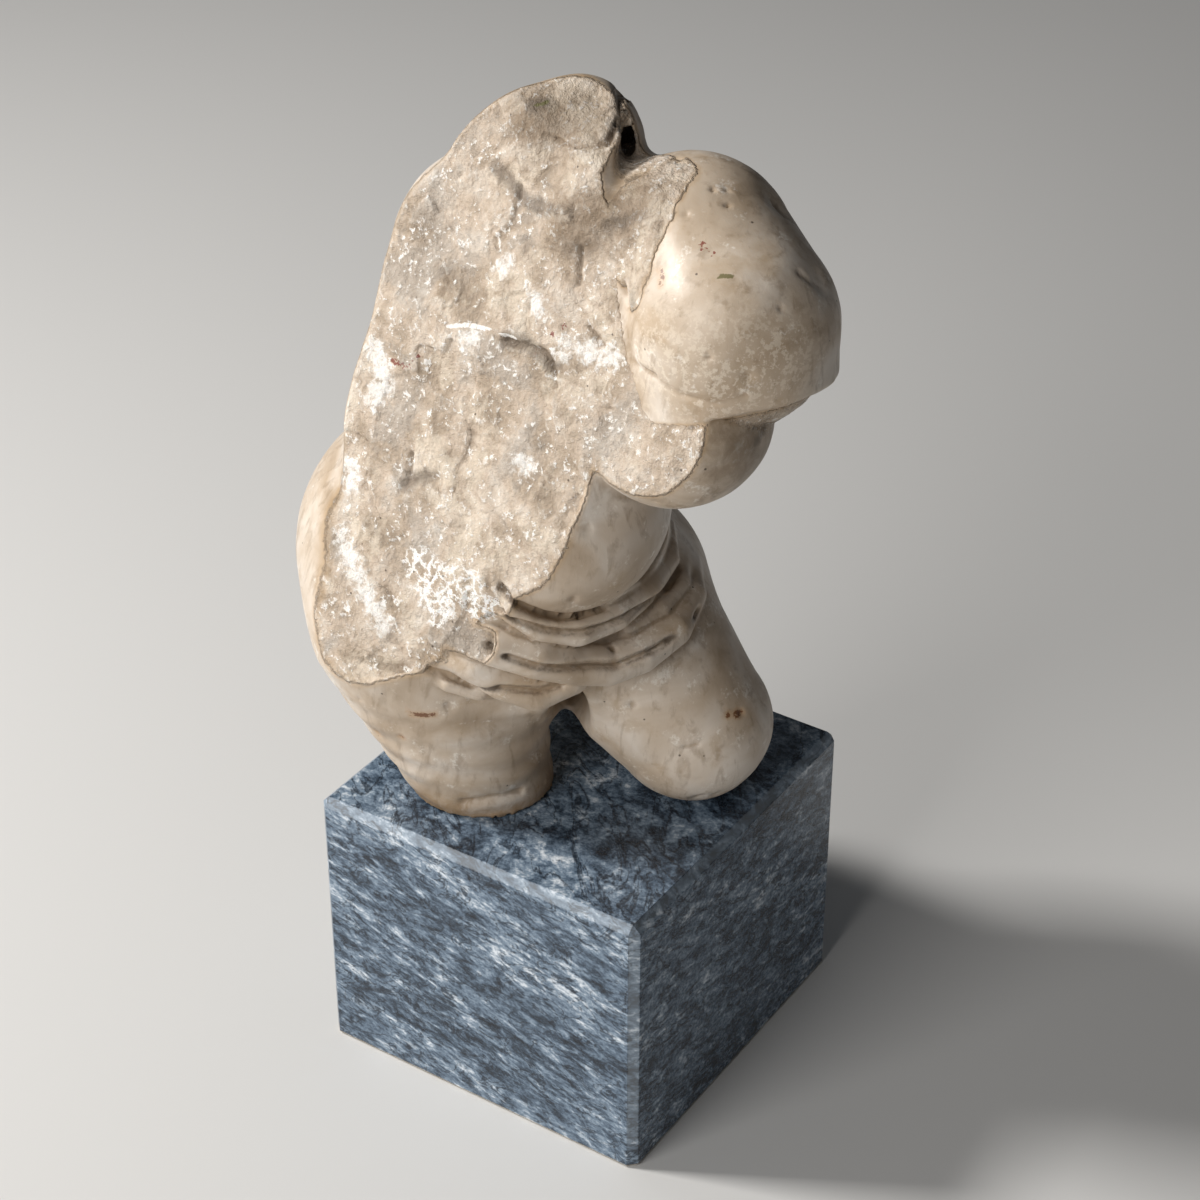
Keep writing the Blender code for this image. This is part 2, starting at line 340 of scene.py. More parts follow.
# %% Surface nets
def fill_pinches(value):
    """Fills the grid points where two parts of the form, or of the space round it, meet only at a corner."""
    corners = list(np.ndindex(2, 2, 2))
    cut = [tuple(slice(c, value.shape[k] - 1 + c) for k, c in enumerate(corner)) for corner in corners]
    sides = [[c for c in range(8) if corners[c][axis] == at] for axis in range(3) for at in (0, 1)]
    for _ in range(12):
        inside = [value[part] < 0 for part in cut]
        pinches = []
        for a, b, c, d in sides:
            pinches.append((inside[a] == inside[d]) & (inside[b] == inside[c]) & (inside[a] != inside[b]))
        count = sum(part.astype(int) for part in inside)
        for a in range(4):
            pair = inside[a] == inside[7 - a]
            pinches.append(pair & (count == np.where(inside[a], 2, 6)))
        pinched = np.any(pinches, axis=0)
        if not pinched.any():
            break
        for part in cut:
            here = value[part]
            here[pinched & (here >= 0)] = -0.01
    return value


def net(field, low, high, step):
    """Points and four-sided faces of the surface where the field is zero: a point for each cell crossed."""
    count = np.ceil((high - low) / step).astype(int) + 1
    axes = [low[k] + step * np.arange(count[k]) for k in range(3)]
    grid = np.stack(np.meshgrid(*axes, indexing="ij"), -1)
    value = fill_pinches(field(grid))
    cells = count - 1
    total = np.zeros((*cells, 3))
    crossings = np.zeros(cells)
    for axis in range(3):
        near = [slice(None)] * 3
        far = [slice(None)] * 3
        near[axis] = slice(0, -1)
        far[axis] = slice(1, None)
        a, b = value[tuple(near)], value[tuple(far)]
        crossed = (a < 0) != (b < 0)
        share = np.where(crossed, a / np.where(crossed, a - b, 1.0), 0.0)
        at = grid[tuple(near)].copy()
        at[..., axis] += share * step
        at *= crossed[..., None]
        others = [k for k in range(3) if k != axis]
        for first in (0, 1):
            for second in (0, 1):
                part = [slice(None)] * 3
                part[others[0]] = slice(first, first + cells[others[0]])
                part[others[1]] = slice(second, second + cells[others[1]])
                total += at[tuple(part)]
                crossings += crossed[tuple(part)]
    used = crossings > 0
    number = np.full(cells, -1)
    number[used] = np.arange(used.sum())
    points = total[used] / crossings[used][:, None]
    faces = []
    for axis in range(3):
        u, v = (axis + 1) % 3, (axis + 2) % 3
        inner = [slice(1, -1)] * 3
        inner[axis] = slice(0, -1)
        upper = [slice(1, -1)] * 3
        upper[axis] = slice(1, None)
        a, b = value[tuple(inner)], value[tuple(upper)]
        where = np.argwhere((a < 0) != (b < 0))
        leaving = (a < 0)[tuple(where.T)]
        where[:, u] += 1
        where[:, v] += 1
        corners = []
        for back_u, back_v in ((1, 1), (0, 1), (0, 0), (1, 0)):
            cell = where.copy()
            cell[:, u] -= back_u
            cell[:, v] -= back_v
            corners.append(number[tuple(cell.T)])
        quads = np.stack(corners, -1)
        quads[~leaving] = quads[~leaving][:, ::-1]
        faces.append(quads)
    return points, np.concatenate(faces)


def main_shell(points, faces):
    """The largest of the closed shells, so that no chip smaller than a cell floats beside the form."""
    label = np.arange(len(points))
    while True:
        lowest = label.copy()
        for k in range(4):
            np.minimum.at(lowest, faces[:, k], label[faces].min(1))
        lowest = lowest[lowest]
        if (lowest == label).all():
            break
        label = lowest
    kept = label == np.bincount(label).argmax()
    number = np.cumsum(kept) - 1
    return points[kept], number[faces[kept[faces[:, 0]]]]


def settle(field, points, rounds, reach, span):
    """Moves each point along the field's slope until it lies on the surface, by at most reach in all."""
    start = points.copy()
    for _ in range(rounds):
        slope = np.stack(
            [field(points + span * axis) - field(points - span * axis) for axis in np.eye(3)], -1
        ) / (2 * span)
        steep = np.maximum((slope**2).sum(-1), 0.05)
        points = points - slope * (field(points) / steep)[:, None]
        moved = points - start
        far = np.linalg.norm(moved, axis=-1, keepdims=True)
        points = start + moved * np.minimum(1.0, reach / np.maximum(far, 1e-9))
    return points


def split(points, faces):
    """Cuts each four-sided face into four, through the middles of its edges and its own middle."""
    pairs = np.sort(np.stack([faces, np.roll(faces, -1, 1)], -1).reshape(-1, 2), 1)
    edges, number = np.unique(pairs, axis=0, return_inverse=True)
    at_edge = len(points) + number.reshape(-1, 4)
    at_middle = len(points) + len(edges) + np.arange(len(faces))
    quarters = [np.stack([faces[:, k], at_edge[:, k], at_middle, at_edge[:, k - 1]], 1) for k in range(4)]
    everything = [points, points[edges].mean(1), points[faces].mean(1)]
    return np.concatenate(everything), np.concatenate(quarters)


# %% The figure's smooth form
FORM_LOW = point(-104, -84, -4)
FORM_HIGH = point(92, 74, 258)
NET_STEP = 1.8

points, quads = net(body, FORM_LOW, FORM_HIGH, NET_STEP)
points, quads = main_shell(points, quads)
points, quads = split(points, quads)
points = settle(body, points, rounds=3, reach=0.8 * NET_STEP, span=0.25)
print("smooth form:", len(points), "points")


# %% [markdown]
# ## The fracture's relief
#
# A fresh break in marble is a patchwork of small facets, each tilted its own way, with crystals standing
# out of them. The facets come from scattered seeds: a point takes the tilted plane of the seed nearest to
# it. Finer hills on top stand for the crystals. The skin only has the slow waves that the rasp and the
# polishing stone left, some pits, and the few cracks and chips that can be seen.

# %% Facets, pits and grooves
def seeds_near(p, length):
    """For each of the 27 cells round a point: the cell, the way from its seed and that way's square."""
    q = p / length
    home = np.floor(q)
    for offset in np.ndindex(3, 3, 3):
        cell = home + offset - 1
        way = q - cell - np.stack([chance(cell, salt) for salt in (1, 2, 3)], -1)
        yield cell, way, (way**2).sum(-1)


def facets(p, length):
    """Tilted facets about length across: the height of the nearest seed's plane above the point."""
    nearest = np.full(len(p), 9.0)
    height = np.zeros(len(p))
    for cell, way, far in seeds_near(p, length):
        tilt = np.stack([chance(cell, salt) for salt in (4, 5, 6)], -1) - 0.5
        plane = 1.6 * (way * tilt).sum(-1) + chance(cell, 7) - 0.5
        closer = far < nearest
        nearest = np.where(closer, far, nearest)
        height = np.where(closer, plane, height)
    return height


def pits(p, length, share, radius):
    """Round pits one deep at the middle: a share of the seeds, each with a bowl of the radius in mm."""
    depth = np.zeros(len(p))
    for cell, way, far in seeds_near(p, length):
        size = radius * (0.5 + chance(cell, 8))
        bowl = np.clip(1 - far * length**2 / size**2, 0, 1)
        depth = np.maximum(depth, bowl * (chance(cell, 9) < share))
    return depth


def near(p, places, width):
    """One on a line through the places, falling off as a bell does over the width in mm."""
    lines = chain(p, places, np.zeros(len(places))) if len(places) > 1 else None
    away = np.linalg.norm(p - np.array(places[0]), axis=-1) if lines is None else lines
    return np.exp(-np.square(away / width))


# %% Where the cracks, chips and stains are, in the figure's frame
GROOVES = (
    # depth, width, places along it
    (1.6, 1.0, ((-21.8, -21, 172), (-19.1, -23.2, 171.5), (-14.9, -26.1, 172.4), (-10.4, -29.7, 171.7),
                (-8.1, -32.3, 168.8), (-6.9, -35.5, 163.9))),
    (1.4, 1.1, ((2.2, -34.7, 183.3), (5.7, -38.7, 179.9), (13, -40.4, 179.2), (21.3, -59.1, 180.3))),
    (1.3, 1.0, ((-7.4, -4.4, 228.7), (-3, -8.5, 228.1), (2.8, -10.8, 229.4), (7.1, -11.5, 230.4))),
    (2.2, 1.0, ((12.1, -5, 236), (10, -8.3, 232.7), (8.2, -11.3, 230.9))),
    (2.0, 1.6, ((12.6, -37.7, 196.8), (13.7, -41.5, 194.3))),
    (0.8, 0.9, ((32.7, -35.3, 32.6), (36.6, -35.1, 33.4))),
    (0.9, 1.0, ((61.8, -51.2, 208.8), (65.3, -50.5, 206))),
    (0.7, 1.0, ((18.6, -55, 180), (22.8, -60.2, 178.6), (29.7, -65.4, 177.7), (38.1, -68.6, 177.5),
                (46.4, -69.4, 179.6))),
    (3.0, 1.15, ((-24, -50, 102.8), (-18.5, -53.7, 98.8), (-12, -51.1, 94.2), (-6.3, -48.4, 91.3),
                 (-0.6, -45.5, 90.1), (6.8, -41.1, 90.1), (14.1, -40.4, 95.5), (19.4, -28.7, 93),
                 (23.2, -22.3, 94.1), (27.4, -10.7, 99.3))),
    (3.0, 1.15, ((-23.8, -52.3, 95.3), (-17.7, -53.3, 92), (-11.4, -52.1, 89), (-4.8, -50.2, 86.6),
                 (1, -48.4, 85.8), (8.3, -43.6, 84.8), (15.7, -37.3, 85), (23.3, -27.2, 83.9),
                 (27.9, -15, 81.6), (31.3, -6.5, 82.5))),
    (3.0, 1.15, ((-28.4, -49.8, 81.2), (-21, -53.5, 79.2), (-13.7, -53.5, 76.3), (-6.4, -51, 73.8),
                 (4, -45.7, 71.7), (11.5, -42.2, 69.3), (24.6, -34.4, 70.7), (37.6, -16.1, 72.1))),
    (2.2, 1.3, ((-46.9, -42.7, 67.2), (-34.6, -43.2, 62.3), (-24.4, -48.5, 64.5), (-12.7, -47.7, 63.2),
                (-6.5, -46, 64.3))),
    (1.4, 1.6, ((-38.7, -31.3, 7), (-29.9, -31.1, 8.5), (-20.2, -26.7, 8))),
    (1.2, 1.6, ((-54, -19.7, 121.1), (-51.8, -20.2, 123.1), (-47.6, -22.4, 125.2), (-44.1, -24.5, 126.5))),
    (1.6, 1.0, ((-52.1, -15.8, 129.4), (-52.6, -18.5, 124))),
    (1.3, 1.0, ((-18.1, -3.8, 213.2), (-18.1, -5.1, 209.3))),
    (1.2, 1.0, ((0.5, -24.5, 203.3), (-0.1, -25.9, 197.6), (-0.7, -27.2, 193.4))),
    (1.3, 1.0, ((9.9, -38.5, 74.5), (9.9, -38.5, 71.5))),
    (0.8, 1.5, ((-2.3, -54.4, 102.5), (-2.3, -54.4, 99.5))),
)
CHIPS = (
    # depth, radius, place
    (1.6, 3.2, (56.7, -24.5, 217.4)), (1.3, 2.6, (58.7, -25.4, 215.3)), (1.8, 3.4, (67.8, -47.3, 204.7)),
    (0.9, 1.4, (28, -17.3, 227.7)), (0.7, 0.9, (41.9, -30.5, 224.5)), (0.7, 0.9, (41.8, -35.4, 222.2)),
    (0.7, 0.9, (37.9, -31, 225.1)), (0.7, 0.9, (29.9, -37.5, 220.4)), (0.7, 0.9, (56.3, -61.9, 203.4)),
    (0.7, 0.9, (36.1, -68.3, 191.4)), (1.0, 1.5, (-34.5, -44.7, 100.8)), (0.9, 2.2, (47.1, -69.9, 186)),
    (0.9, 2.0, (-41.6, -38.9, 50.8)), (0.8, 1.6, (2, -56.1, 127.3)), (0.8, 1.8, (-66.3, -26, 31.3)),
    (0.8, 1.6, (-57.6, -33.9, 35.4)), (1.6, 2.8, (38.5, -29.9, 7.7)), (1.5, 2.4, (44.2, -29, 8.4)),
    (1.3, 2.4, (52, -24, 12)), (0.7, 1.2, (51.1, -26.2, 39.5)), (0.8, 1.6, (16, -32.9, 47.4)),
)


# %% The relief, laid on along the surface's own slope
def slope_of(field, p, span=0.4):
    """The unit vector that points straight out of the stone: the field's rise along each axis."""
    rise = [field(p + span * axis) - field(p - span * axis) for axis in np.eye(3)]
    way = np.stack(rise, -1)
    return way / np.maximum(np.linalg.norm(way, axis=-1, keepdims=True), 1e-9)


def fracture_relief(p):
    """Two sizes of facet, on a slightly warped space so that their edges wander, and two of hill."""
    warped = p + 2.5 * np.stack([bumps(p + shift, 11) for shift in (0.0, 40.0, 80.0)], -1)
    coarse = 0.7 * facets(warped, 21) + 0.35 * facets(warped, 9) + 0.45 * bumps(p, 11)
    return coarse + 0.2 * bumps(p, 4.5) + 0.1 * bumps(p, 2.1) - 0.4 * pits(p, 9, 0.35, 1.2)


def skin_relief(p):
    """Slow waves of rasp and polishing stone, low ripples round the right thigh, and a few fine pits."""
    waves = 0.28 * bumps(p, 19) + 0.07 * bumps(p, 5)
    lower = np.clip((58 - p[..., 2]) / 20, 0, 1) * (p[..., 0] < -4)
    ripples = 0.3 * lower * np.sin(p[..., 2] * 0.62 + 2.2 * bumps(p, 24) + 0.04 * p[..., 0])
    return waves + ripples - 0.35 * pits(p, 9, 0.3, 0.9)


def relief(p):
    """Height to add at each point in mm: fracture or skin relief by the side of the break's edge."""
    on_break = np.clip(inside_break(p) / 1.6, 0, 1)
    height = on_break * fracture_relief(p) + (1 - on_break) * skin_relief(p)
    for depth, width, places in GROOVES:
        height = height - depth * near(p, places, width)
    for depth, radius, place in CHIPS:
        height = height - depth * near(p, (place,), radius) * (1 + 0.5 * bumps(p, 3))
    return height * np.clip((p[..., 2] - 0.3) / 1.5, 0, 1)


out = slope_of(body, points)
height = relief(points)
points = points + out * height[:, None]
points[:, 2] = np.maximum(points[:, 2], 0)
print("relief, mm: from", round(height.min(), 2), "to", round(height.max(), 2))

# %% [markdown]
# ## Thinning where the stone is smooth
#
# The skin needs few triangles and the fracture many. A Decimate modifier takes away the edges that change
# the shape least, so the triangles stay where the stone is rough. Its result is read back, because the
# finish needs a few numbers at every point.

# %% Thin the mesh, and read it back
MOST_TRIANGLES = 196000


def mesh_of(name, points, faces):
    """A mesh from an array of points and an array of faces, which all have as many corners."""
    made = bpy.data.meshes.new(name)
    made.vertices.add(len(points))
    made.vertices.foreach_set("co", points.astype(np.float32).ravel())
    made.loops.add(faces.size)
    made.loops.foreach_set("vertex_index", faces.astype(np.int32).ravel())
    made.polygons.add(len(faces))
    made.polygons.foreach_set("loop_start", np.arange(0, faces.size, faces.shape[1], dtype=np.int32))
    made.update(calc_edges=True)
    return made


def thinned(points, quads, most):
    """The mesh with the most triangles asked for, as arrays of points and of triangles."""
    draft = mesh_of("draft", points, quads)
    holder = bpy.data.objects.new("draft", draft)
    bpy.context.scene.collection.objects.link(holder)
    thin = holder.modifiers.new("thin", "DECIMATE")
    thin.ratio = min(1.0, most / (2 * len(quads)))
    thin.use_collapse_triangulate = True
    made = bpy.data.meshes.new_from_object(holder.evaluated_get(bpy.context.evaluated_depsgraph_get()))
    made.calc_loop_triangles()
    co = np.empty(3 * len(made.vertices), np.float32)
    made.vertices.foreach_get("co", co)
    corners = np.empty(3 * len(made.loop_triangles), np.int32)
    made.loop_triangles.foreach_get("vertices", corners)
    bpy.data.objects.remove(holder)
    bpy.data.meshes.remove(draft)
    bpy.data.meshes.remove(made)
    return co.reshape(-1, 3).astype(float), corners.reshape(-1, 3)


points, triangles = thinned(points, quads, MOST_TRIANGLES)
print("thinned to", len(points), "points and", len(triangles), "triangles")


# %% [markdown]
# ## What the finish has to know
#
# Some of the stone's colours follow its shape: the break and its rim, where light through the thin edge is
# painted as a glow, dirt and painted shade in hollows, painted shade in the deepest creases, an amber stain
# and painted shade at the foot, rubbed heights, and stains that lie in one place, some of which also carry
# painted shade. Each is kept as a smooth number on the points. The material cuts it with noise, so that
# its edge is ragged and finer than the mesh.

# %% Numbers on the points
def proud_of(points, triangles, rounds):
    """Height of each point over the surface as it is after rounds of averaging with its neighbours, in mm."""
    ends = np.concatenate([triangles[:, [0, 1]], triangles[:, [1, 2]], triangles[:, [2, 0]]])
    a, b = ends.T
    count = np.bincount(a, minlength=len(points))[:, None]
    smooth = points
    for _ in range(rounds):
        sums = [np.bincount(a, weights=smooth[b, k], minlength=len(points)) for k in range(3)]
        smooth = np.stack(sums, -1) / count
    corners = points[triangles]
    facing = np.cross(corners[:, 1] - corners[:, 0], corners[:, 2] - corners[:, 0])
    normal = np.stack([sum(np.bincount(triangles[:, c], weights=facing[:, k], minlength=len(points))
                           for c in range(3)) for k in range(3)], -1)
    normal /= np.maximum(np.linalg.norm(normal, axis=1, keepdims=True), 1e-9)
    return ((points - smooth) * normal).sum(1)


# Real stains, and two that also carry painted shade: the grime, under the arm and beside the shoulder, and
# the patina, under the breast
STAINS_AND_SHADE = {
    # name: width of the bell in mm, and places or lines of places
    "ochre": (1.3, (((-57.6, -0.7, 153.5), (-54.1, -3.8, 153.8), (-51.5, -5.5, 154.8)),
                    ((-49.5, -5.9, 157.8),), ((-8.3, -29.8, 177.8),), ((-5.1, -30.7, 181.2),),
                    ((-13.4, -27.5, 171.5),), ((34.3, -46.1, 216.2), (34.8, -48.1, 215)),
                    ((37, -50.1, 214.5),))),
    # brown patina; its last line, under the breast, is painted shade
    "patina": (15, (((-12, 2, 232), (2, -4, 236)), ((-2, -22, 209), (16, -26, 217)),
                    ((44, -62, 158), (50, -50, 148)))),
    "milky": (17, (((24, -62, 184), (40, -69, 184), (54, -64, 190)),)),
    "lichen": (0.9, (((38, -56.9, 210.7), (42.4, -57.6, 211.1)), ((-9.5, 3.3, 236.6), (-13, 3.1, 235.4)))),
    "rust": (1.9, (((51.1, -26.2, 39.5), (49.1, -27.4, 40)), ((46.8, -28.6, 40.5),),
                   ((-53.7, -38.5, 47.8), (-50.2, -38.9, 47.7), (-46.4, -39, 48.2)),
                   ((23.4, -48.1, 208.2), (23.1, -51, 205.5)), ((-66.3, -26, 31.3),),
                   ((-57.6, -33.9, 35.4),))),
    # dirt in cracks; its lines under the arm and in the crease and valley beside the shoulder are painted
    # shade
    "grime": (3.6, (((-54, -19.7, 121.1), (-51.8, -20.2, 123.1), (-47.6, -22.4, 125.2)),
                    ((-21.8, -21, 172), (-14.9, -26.1, 172.4), (-8.1, -32.3, 168.8)),
                    ((-24.8, 3.8, 216.1), (-14.8, -7.7, 209.6), (-1, -19.2, 211.6)),
                    ((-9.5, 3.3, 236.6), (-13, 3.1, 235.4)), ((12.5, -44.2, 200.2), (13.7, -46.5, 196.9)),
                    ((-17, -14, 200),), ((8, -28, 212), (20, -36, 222)), ((60, -52, 166), (52, -62, 160)))),
    "white": (6.5, (((-63.5, 4.8, 154.7), (-60.3, -0.5, 147.1), (-63.6, -1.7, 140.8)),
                    ((-72.1, -5.4, 117.9), (-71.5, -7.8, 113.9)),
                    ((-74, -13.8, 97.4), (-71.7, -19.2, 92.7), (-68.4, -24.2, 87.4), (-62, -32.4, 77.9)),
                    ((-17.1, -40, 140.3),), ((-5.4, -33.1, 175.2),), ((-13.4, -23.2, 184.8),),
                    ((-22.4, -11.4, 190.9),), ((2.2, -37.3, 176.8), (10.4, -42.4, 177)),
                    ((-33.2, -14.5, 168.5),))),
    "crust": (8.5, (((-50, -33, 99), (-44, -38, 96), (-36, -43, 99), (-31, -47, 96)), ((-44, -40, 90),))),
    "scratch": (0.75, (((-40, -8.3, 169.3), (-33.8, -11.6, 171.7), (-27.6, -16, 172.7),
                        (-22.4, -20.2, 172.9), (-19.4, -22.4, 172.8)),)),
}

FOOT_STAIN_AND_SHADE_FADE = 9.0  # mm over which the amber stain and painted shade at the foot thin out to about a third
SHADED_CREASE_DEPTH, SHADED_CREASE_WIDTH = 2.1, 1.8  # a groove deeper than this gets painted shade over this width, in mm
AVERAGING_ROUNDS = 12

numbers = {name: np.max([near(points, line, width) for line in lines], axis=0)
           for name, (width, lines) in STAINS_AND_SHADE.items()}
numbers["inside_break"] = np.clip(inside_break(points), -12, 12)
# an amber stain and painted shade, darker towards the seat
numbers["foot"] = np.exp(-points[:, 2] / FOOT_STAIN_AND_SHADE_FADE)
# painted shade in the deepest grooves, where the rolls overhang
numbers["crease"] = np.max([near(points, places, SHADED_CREASE_WIDTH) for depth, _, places in GROOVES
                            if depth > SHADED_CREASE_DEPTH], axis=0)
numbers["proud"] = np.clip(proud_of(points, triangles, AVERAGING_ROUNDS), -2, 2)
for name, values in numbers.items():
    print(f"{name}: from {values.min():.2f} to {values.max():.2f}")

# %% [markdown]
# ## The figure's mesh
#
# The points are turned to the way that the figure faces on its block, and lifted onto it, in the mesh
# itself. The object stays at the origin.

# %% Put the figure on its block
TORSO_TURN = math.radians(33.4)
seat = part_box("torso")[0].z

turn = np.array(Matrix.Rotation(TORSO_TURN, 3, "Z"))
placed = points @ turn.T * MM + np.array([0, 0, seat])
mesh = mesh_of("carved_torso", placed, triangles)
mesh.validate()
mesh.shade_smooth()
for name, values in numbers.items():
    mesh.attributes.new(name, "FLOAT", "POINT").data.foreach_set("value", values.astype(np.float32))
carved_torso = bpy.data.objects.new("carved_torso", mesh)
bpy.context.scene.collection.objects.link(carved_torso)
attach(carved_torso, "root")
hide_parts("torso")
print("figure:", [round(float(side) * 1000, 1) for side in np.ptp(placed, axis=0)], "mm")


# %% [markdown]
# ## How the materials are built
#
# Every colour is written as the sRGB hex value that the eye would match, and one function turns it into
# the linear numbers that the renderer works in. One small function adds a node. A Mapping node turns
# object coordinates into millimetres, so that a noise of scale 1/12 has grains about 12 mm across.

# %% Colours and nodes
def linear(code, alpha=1.0):
    """sRGB hex to linear RGBA: the standard curve, channel by channel."""
    parts = [int(code[k:k + 2], 16) / 255 for k in (1, 3, 5)]
    curved = [c / 12.92 if c <= 0.04045 else ((c + 0.055) / 1.055) ** 2.4 for c in parts]
    return (*curved, alpha)


def add_node(tree, kind, settings=None, links=None):
    """Adds a node. Settings fill its properties, free sockets or ramp stops, and links feed its sockets."""
    made = tree.nodes.new("ShaderNode" + kind)
    for name, value in (settings or {}).items():
        if name == "stops":
            elements = made.color_ramp.elements
            elements[0].position, elements[1].position = value[0][0], value[-1][0]
            for place, _ in value[1:-1]:
                elements.new(place)
            for element, (_, code) in zip(elements, value):
                element.color = linear(code)
        elif isinstance(name, str) and hasattr(made, name):
            setattr(made, name, value)
        else:
            made.inputs[name].default_value = value
    for name, source in (links or {}).items():
        tree.links.new(source, made.inputs[name])
    return made


def new_stone(name):
    """A new material with a Principled shader on its output: the material, its tree and the shader."""
    material = bpy.data.materials.new(name)
    material.use_nodes = True
    tree = material.node_tree
    return material, tree, tree.nodes["Principled BSDF"]


# %% [markdown]
# ## Old white marble
#
# The figure is a fine-grained white marble. Its skin was rubbed smooth with stone and sand and has since
# been handled, so it is a warm, slightly waxy off-white with a low gloss. Light goes a few millimetres
# into it. Where it broke, the grains are bare: each is a small mirror or a white crumb of sugar, and dust
# has settled between them, drawn together with painted shade in the hollows. At the edge of the break the
# stone is thin, and the light that shines through it is painted as a honey-coloured band.

# %% Skin and fracture colours
torso_low, torso_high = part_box("torso")
marble, tree, shader = new_stone("weathered_white_marble")
coords = add_node(tree, "TexCoord")
torso_middle = (torso_low + torso_high) / 2
in_mm = add_node(tree, "Mapping", {"vector_type": "TEXTURE", "Location": torso_middle, "Scale": (MM, MM, MM)},
                 {"Vector": coords.outputs["Object"]}).outputs[0]
streaked_mm = add_node(tree, "Mapping", {"vector_type": "TEXTURE", "Rotation": (0.25, 0.1, 0.6),
                                         "Scale": (1, 1, 5)}, {"Vector": in_mm}).outputs[0]

noises = {}
for name, length, detail, roughness, distortion, where in (
    # name, grain in mm, detail, roughness, distortion, coordinates
    ("clouds", 30, 4, 0.55, 0.6, in_mm), ("blotches", 13, 6, 0.62, 0.4, in_mm),
    ("patches", 24, 3, 0.5, 0.8, in_mm), ("clusters", 9, 4, 0.6, 0.3, in_mm),
    ("crumbs", 2.6, 5, 0.72, 0.2, in_mm), ("sugar", 1.1, 3, 0.65, 0.0, in_mm),
    ("streaks", 4, 5, 0.6, 0.5, streaked_mm), ("dust", 5, 5, 0.7, 0.6, in_mm),
):
    settings = {"Scale": 1 / length, "Detail": detail, "Roughness": roughness, "Distortion": distortion}
    noises[name] = add_node(tree, "TexNoise", settings, {"Vector": where}).outputs["Fac"]

skin = add_node(tree, "ValToRGB", {"stops": ((0.28, "#a8937b"), (0.44, "#c4b29d"), (0.58, "#d6c9ba"),
                                             (0.76, "#e8e1d8"))}, {0: noises["clouds"]}).outputs[0]
fracture = add_node(tree, "ValToRGB", {"stops": ((0.3, "#8f7f6d"), (0.42, "#ae9c88"), (0.52, "#c4b29f"),
                                                 (0.63, "#d3c5b5"), (0.76, "#e4dbd0"))},
                    {0: noises["blotches"]}).outputs[0]

# %% Masks and layers
def cut(tree, source, noise, spread, low, high):
    """A ragged mask: the source plus spread times the noise about its middle, from 0 at low to 1 at high."""
    shifted = add_node(tree, "Math", {"operation": "MULTIPLY_ADD", 1: spread, 2: -spread / 2},
                       {0: noise}).outputs[0]
    total = add_node(tree, "Math", {"operation": "ADD"}, {0: source, 1: shifted}).outputs[0]
    return add_node(tree, "MapRange", {"interpolation_type": "SMOOTHSTEP", "From Min": low, "From Max": high},
                    {"Value": total}).outputs[0]


def both(tree, one, other):
    """A mask where both masks are: their product."""
    return add_node(tree, "Math", {"operation": "MULTIPLY"}, {0: one, 1: other}).outputs[0]


def lay(tree, under, code, mask, strength, how="MIX"):
    """A layer of one colour over what is under it, as thick as the strength where the mask is 1."""
    amount = add_node(tree, "Math", {"operation": "MULTIPLY", 1: strength}, {0: mask}).outputs[0]
    return add_node(tree, "Mix", {"data_type": "RGBA", "blend_type": how, 7: linear(code)},
                    {0: amount, 6: under}).outputs[2]


# %% Which part of the surface is which
marks = {name: add_node(tree, "Attribute", {"attribute_name": name}).outputs["Fac"] for name in numbers}
on_break = cut(tree, marks["inside_break"], noises["crumbs"], 2.4, -0.5, 0.3)
# the hollows, where dust lies and where shade is also painted
dust_and_shade_in_hollows = cut(tree, marks["proud"], noises["crumbs"], 0.5, -0.08, -0.7)
rubbed = cut(tree, marks["proud"], noises["sugar"], 0.7, 0.08, 0.6)
flecks = both(tree, cut(tree, noises["crumbs"], noises["sugar"], 0.35, 0.56, 0.62),
              cut(tree, noises["clusters"], noises["crumbs"], 0.3, 0.44, 0.6))
# the band on each side of the break's edge where a glow of light through the thin stone is painted
glow_band_skin = cut(tree, marks["inside_break"], noises["crumbs"], 1.0, -1.8, -0.5)
glow_band_break = cut(tree, marks["inside_break"], noises["crumbs"], 1.6, 1.6, 0.2)

# %% [markdown]
# ### Layers of colour
#
# The skin's base has slow clouds of cream and tan, long faint streaks, and a few milky flecks. The
# fracture's base is blotched beige, brown and grey, with white sugar in clusters. Over both come dust and
# painted shade in hollows, the rubbed white of heights, the honey rim, which is a painted glow of light
# through the thin edge, painted shade in the deepest creases, and the stains that lie in one place, with
# painted shade at the foot, under the breast and the arm and beside the shoulder.

# %% Lay the colours
skin = lay(tree, skin, "#8f7960", cut(tree, noises["streaks"], noises["dust"], 0.3, 0.5, 0.72), 0.5)
skin = lay(tree, skin, "#b29a7c", cut(tree, noises["blotches"], noises["dust"], 0.3, 0.54, 0.68), 0.4)
skin = lay(tree, skin, "#f4efe6", cut(tree, noises["clusters"], noises["sugar"], 0.5, 0.6, 0.74), 0.5)
milky = both(tree, marks["milky"], cut(tree, noises["crumbs"], noises["sugar"], 0.3, 0.5, 0.58))
skin = lay(tree, skin, "#e9ddcb", milky, 0.5)
# dust and painted shade in the skin's hollows
skin = lay(tree, skin, "#8d7456", dust_and_shade_in_hollows, 0.55)

fracture = lay(tree, fracture, "#a39b92", cut(tree, noises["patches"], noises["dust"], 0.5, 0.52, 0.68), 0.5)
fracture = lay(tree, fracture, "#e6d9c6", cut(tree, noises["patches"], noises["dust"], 0.5, 0.48, 0.34), 0.5)
fracture = lay(tree, fracture, "#8d7c68", cut(tree, noises["dust"], noises["crumbs"], 0.3, 0.54, 0.7), 0.4)
# dust and painted shade in the fracture's hollows
fracture = lay(tree, fracture, "#75634f", dust_and_shade_in_hollows, 0.6)
fracture = lay(tree, fracture, "#efe8de", rubbed, 0.35)
fracture = lay(tree, fracture, "#f8f5f0", flecks, 0.9)

